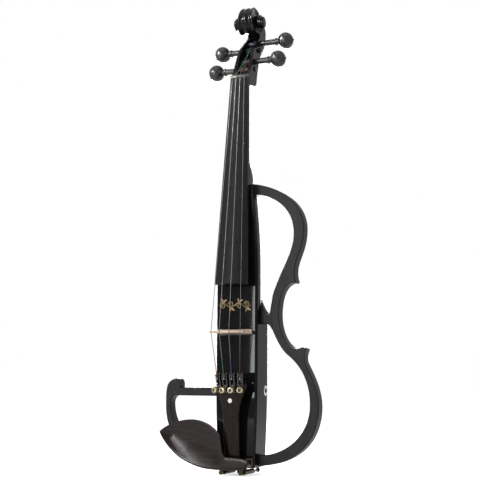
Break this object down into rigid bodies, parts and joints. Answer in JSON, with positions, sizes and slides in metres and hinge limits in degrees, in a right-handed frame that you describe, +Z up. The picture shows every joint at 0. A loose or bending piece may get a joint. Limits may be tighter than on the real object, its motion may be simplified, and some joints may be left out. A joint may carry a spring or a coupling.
{
  "type": "electric violin",
  "caption": "Solid-body electric violin with an open outline frame, arched fingerboard, wooden pegs, fine tuners, chinrest and a preamplifier in its back.",
  "frame": {"origin": "in the throat under the scroll, where the prongs of a hanger hold the violin", "axes": "+Z up along the strings to the scroll, -Y to the front where the strings are, +X to the treble side"},
  "size_m": [0.2095, 0.1103, 0.6064],
  "materials": {
    "gloss_black": "gloss",
    "board_black": "satin",
    "maple": "satin",
    "tail_wood": "satin",
    "peg_black": "satin",
    "frame_satin": "satin",
    "string_metal": "satin",
    "dark_metal": "satin",
    "gold_metal": "polished",
    "pearl": "gloss",
    "gut": "matte",
    "cork": "matte",
    "screw_steel": "satin",
    "black_plastic": "satin",
    "jack_metal": "polished",
    "circuit_board": "satin",
    "battery_case": "satin"
  },
  "bodies": {
    "violin": {"body_core": "gloss_black", "neck": "gloss_black", "fingerboard": "board_black", "nut": "board_black", "saddle": "board_black", "bridge": "maple", "piezo_pickup": "screw_steel", "pickup_lead": "gut", "string_g": "string_metal", "string_d": "string_metal", "string_a": "string_metal", "string_e": "string_metal", "tailpiece": "tail_wood", "tailpiece_eye": "pearl", "tailgut": "gut", "end_button": "peg_black", "tuner_body_g": "dark_metal", "tuner_body_d": "dark_metal", "tuner_body_a": "dark_metal", "tuner_body_e": "dark_metal", "outline_frame": "frame_satin", "chin_frame": "frame_satin", "frame_screws": "screw_steel", "chinrest": "tail_wood", "chinrest_corks": "cork", "clamp_bracket": "gold_metal", "clamp_foot": "gold_metal", "clamp_cork": "cork", "back_cover": "black_plastic", "cover_screws": "screw_steel", "battery": "battery_case", "preamp_board": "circuit_board", "pots": "screw_steel", "switch_housing": "screw_steel", "output_jack": "jack_metal", "jack_nut": "jack_metal", "headphone_jack": "jack_metal"},
    "peg_g_body": {"peg_g": "peg_black"},
    "peg_d_body": {"peg_d": "peg_black"},
    "peg_a_body": {"peg_a": "peg_black"},
    "peg_e_body": {"peg_e": "peg_black"},
    "tuner_screw_g_body": {"tuner_screw_g": "gold_metal"},
    "tuner_lever_g_body": {"tuner_lever_g": "dark_metal"},
    "tuner_screw_d_body": {"tuner_screw_d": "gold_metal"},
    "tuner_lever_d_body": {"tuner_lever_d": "dark_metal"},
    "tuner_screw_a_body": {"tuner_screw_a": "gold_metal"},
    "tuner_lever_a_body": {"tuner_lever_a": "dark_metal"},
    "tuner_screw_e_body": {"tuner_screw_e": "gold_metal"},
    "tuner_lever_e_body": {"tuner_lever_e": "dark_metal"},
    "clamp_barrel_left_body": {"clamp_barrel_left": "gold_metal"},
    "clamp_barrel_right_body": {"clamp_barrel_right": "gold_metal"},
    "volume_control": {"volume_spindle": "screw_steel", "volume_knob": "black_plastic"},
    "tone_control": {"tone_spindle": "screw_steel", "tone_knob": "black_plastic"},
    "power_slider": {"power_switch": "black_plastic"},
    "battery_lid": {"battery_door": "black_plastic"}
  },
  "joints": [
    {"name": "peg_g_turn", "type": "hinge", "parent": "violin", "child": "peg_g_body", "pos_m": [0, 0.0005, -0.046], "axis": [1, 0, 0], "continuous": true},
    {"name": "peg_d_turn", "type": "hinge", "parent": "violin", "child": "peg_d_body", "pos_m": [0, 0.019, -0.0155], "axis": [1, 0, 0], "continuous": true},
    {"name": "peg_a_turn", "type": "hinge", "parent": "violin", "child": "peg_a_body", "pos_m": [0, 0.0245, -0.0045], "axis": [1, 0, 0], "continuous": true},
    {"name": "peg_e_turn", "type": "hinge", "parent": "violin", "child": "peg_e_body", "pos_m": [0, 0.0045, -0.0345], "axis": [1, 0, 0], "continuous": true},
    {"name": "tuner_screw_g_turn", "type": "hinge", "parent": "violin", "child": "tuner_screw_g_body", "pos_m": [-0.0138, -0.043, -0.46006], "axis": [0.2875, 0.9548, 0.0751], "range_deg": [0, 1440]},
    {"name": "tuner_lever_g_tilt", "type": "hinge", "parent": "violin", "child": "tuner_lever_g_body", "pos_m": [-0.01366, -0.04389, -0.44268], "axis": [0.9578, -0.2866, -0.0226], "range_deg": [0, 7.6]},
    {"name": "tuner_screw_d_turn", "type": "hinge", "parent": "violin", "child": "tuner_screw_d_body", "pos_m": [-0.0046, -0.0448, -0.4602], "axis": [0.0958, 0.9923, 0.0781], "range_deg": [0, 1440]},
    {"name": "tuner_lever_d_tilt", "type": "hinge", "parent": "violin", "child": "tuner_lever_d_body", "pos_m": [-0.00455, -0.04567, -0.44282], "axis": [0.9954, -0.0955, -0.0075], "range_deg": [0, 7.6]},
    {"name": "tuner_screw_a_turn", "type": "hinge", "parent": "violin", "child": "tuner_screw_a_body", "pos_m": [0.0046, -0.0448, -0.4602], "axis": [-0.0958, 0.9923, 0.0781], "range_deg": [0, 1440]},
    {"name": "tuner_lever_a_tilt", "type": "hinge", "parent": "violin", "child": "tuner_lever_a_body", "pos_m": [0.00455, -0.04567, -0.44282], "axis": [0.9954, 0.0955, 0.0075], "range_deg": [0, 7.6]},
    {"name": "tuner_screw_e_turn", "type": "hinge", "parent": "violin", "child": "tuner_screw_e_body", "pos_m": [0.0138, -0.043, -0.46006], "axis": [-0.2875, 0.9548, 0.0751], "range_deg": [0, 1440]},
    {"name": "tuner_lever_e_tilt", "type": "hinge", "parent": "violin", "child": "tuner_lever_e_body", "pos_m": [0.01366, -0.04389, -0.44268], "axis": [0.9578, 0.2866, 0.0226], "range_deg": [0, 7.6]},
    {"name": "clamp_barrel_left_turn", "type": "hinge", "parent": "violin", "child": "clamp_barrel_left_body", "pos_m": [-0.013, -0.017, -0.561], "axis": [0, 1, 0], "continuous": true},
    {"name": "clamp_barrel_right_turn", "type": "hinge", "parent": "violin", "child": "clamp_barrel_right_body", "pos_m": [0.013, -0.017, -0.561], "axis": [0, 1, 0], "continuous": true},
    {"name": "volume_turn", "type": "hinge", "parent": "violin", "child": "volume_control", "pos_m": [0, 0.012, -0.442], "axis": [0, 1, 0], "range_deg": [-140, 140]},
    {"name": "tone_turn", "type": "hinge", "parent": "violin", "child": "tone_control", "pos_m": [0, 0.012, -0.42], "axis": [0, 1, 0], "range_deg": [-140, 140]},
    {"name": "power_slide", "type": "slide", "parent": "violin", "child": "power_slider", "axis": [0, 0, 1], "range_m": [0, 0.0036]},
    {"name": "battery_door_hinge", "type": "hinge", "parent": "violin", "child": "battery_lid", "pos_m": [0, 0.0108, -0.5218], "axis": [-1, 0, 0], "range_deg": [0, 110]}
  ],
  "couplings": [
    {"joint": "tuner_lever_g_tilt", "follows": "tuner_screw_g_turn", "ratio": 0.005208},
    {"joint": "tuner_lever_d_tilt", "follows": "tuner_screw_d_turn", "ratio": 0.005208},
    {"joint": "tuner_lever_a_tilt", "follows": "tuner_screw_a_turn", "ratio": 0.005208},
    {"joint": "tuner_lever_e_tilt", "follows": "tuner_screw_e_turn", "ratio": 0.005208}
  ]
}
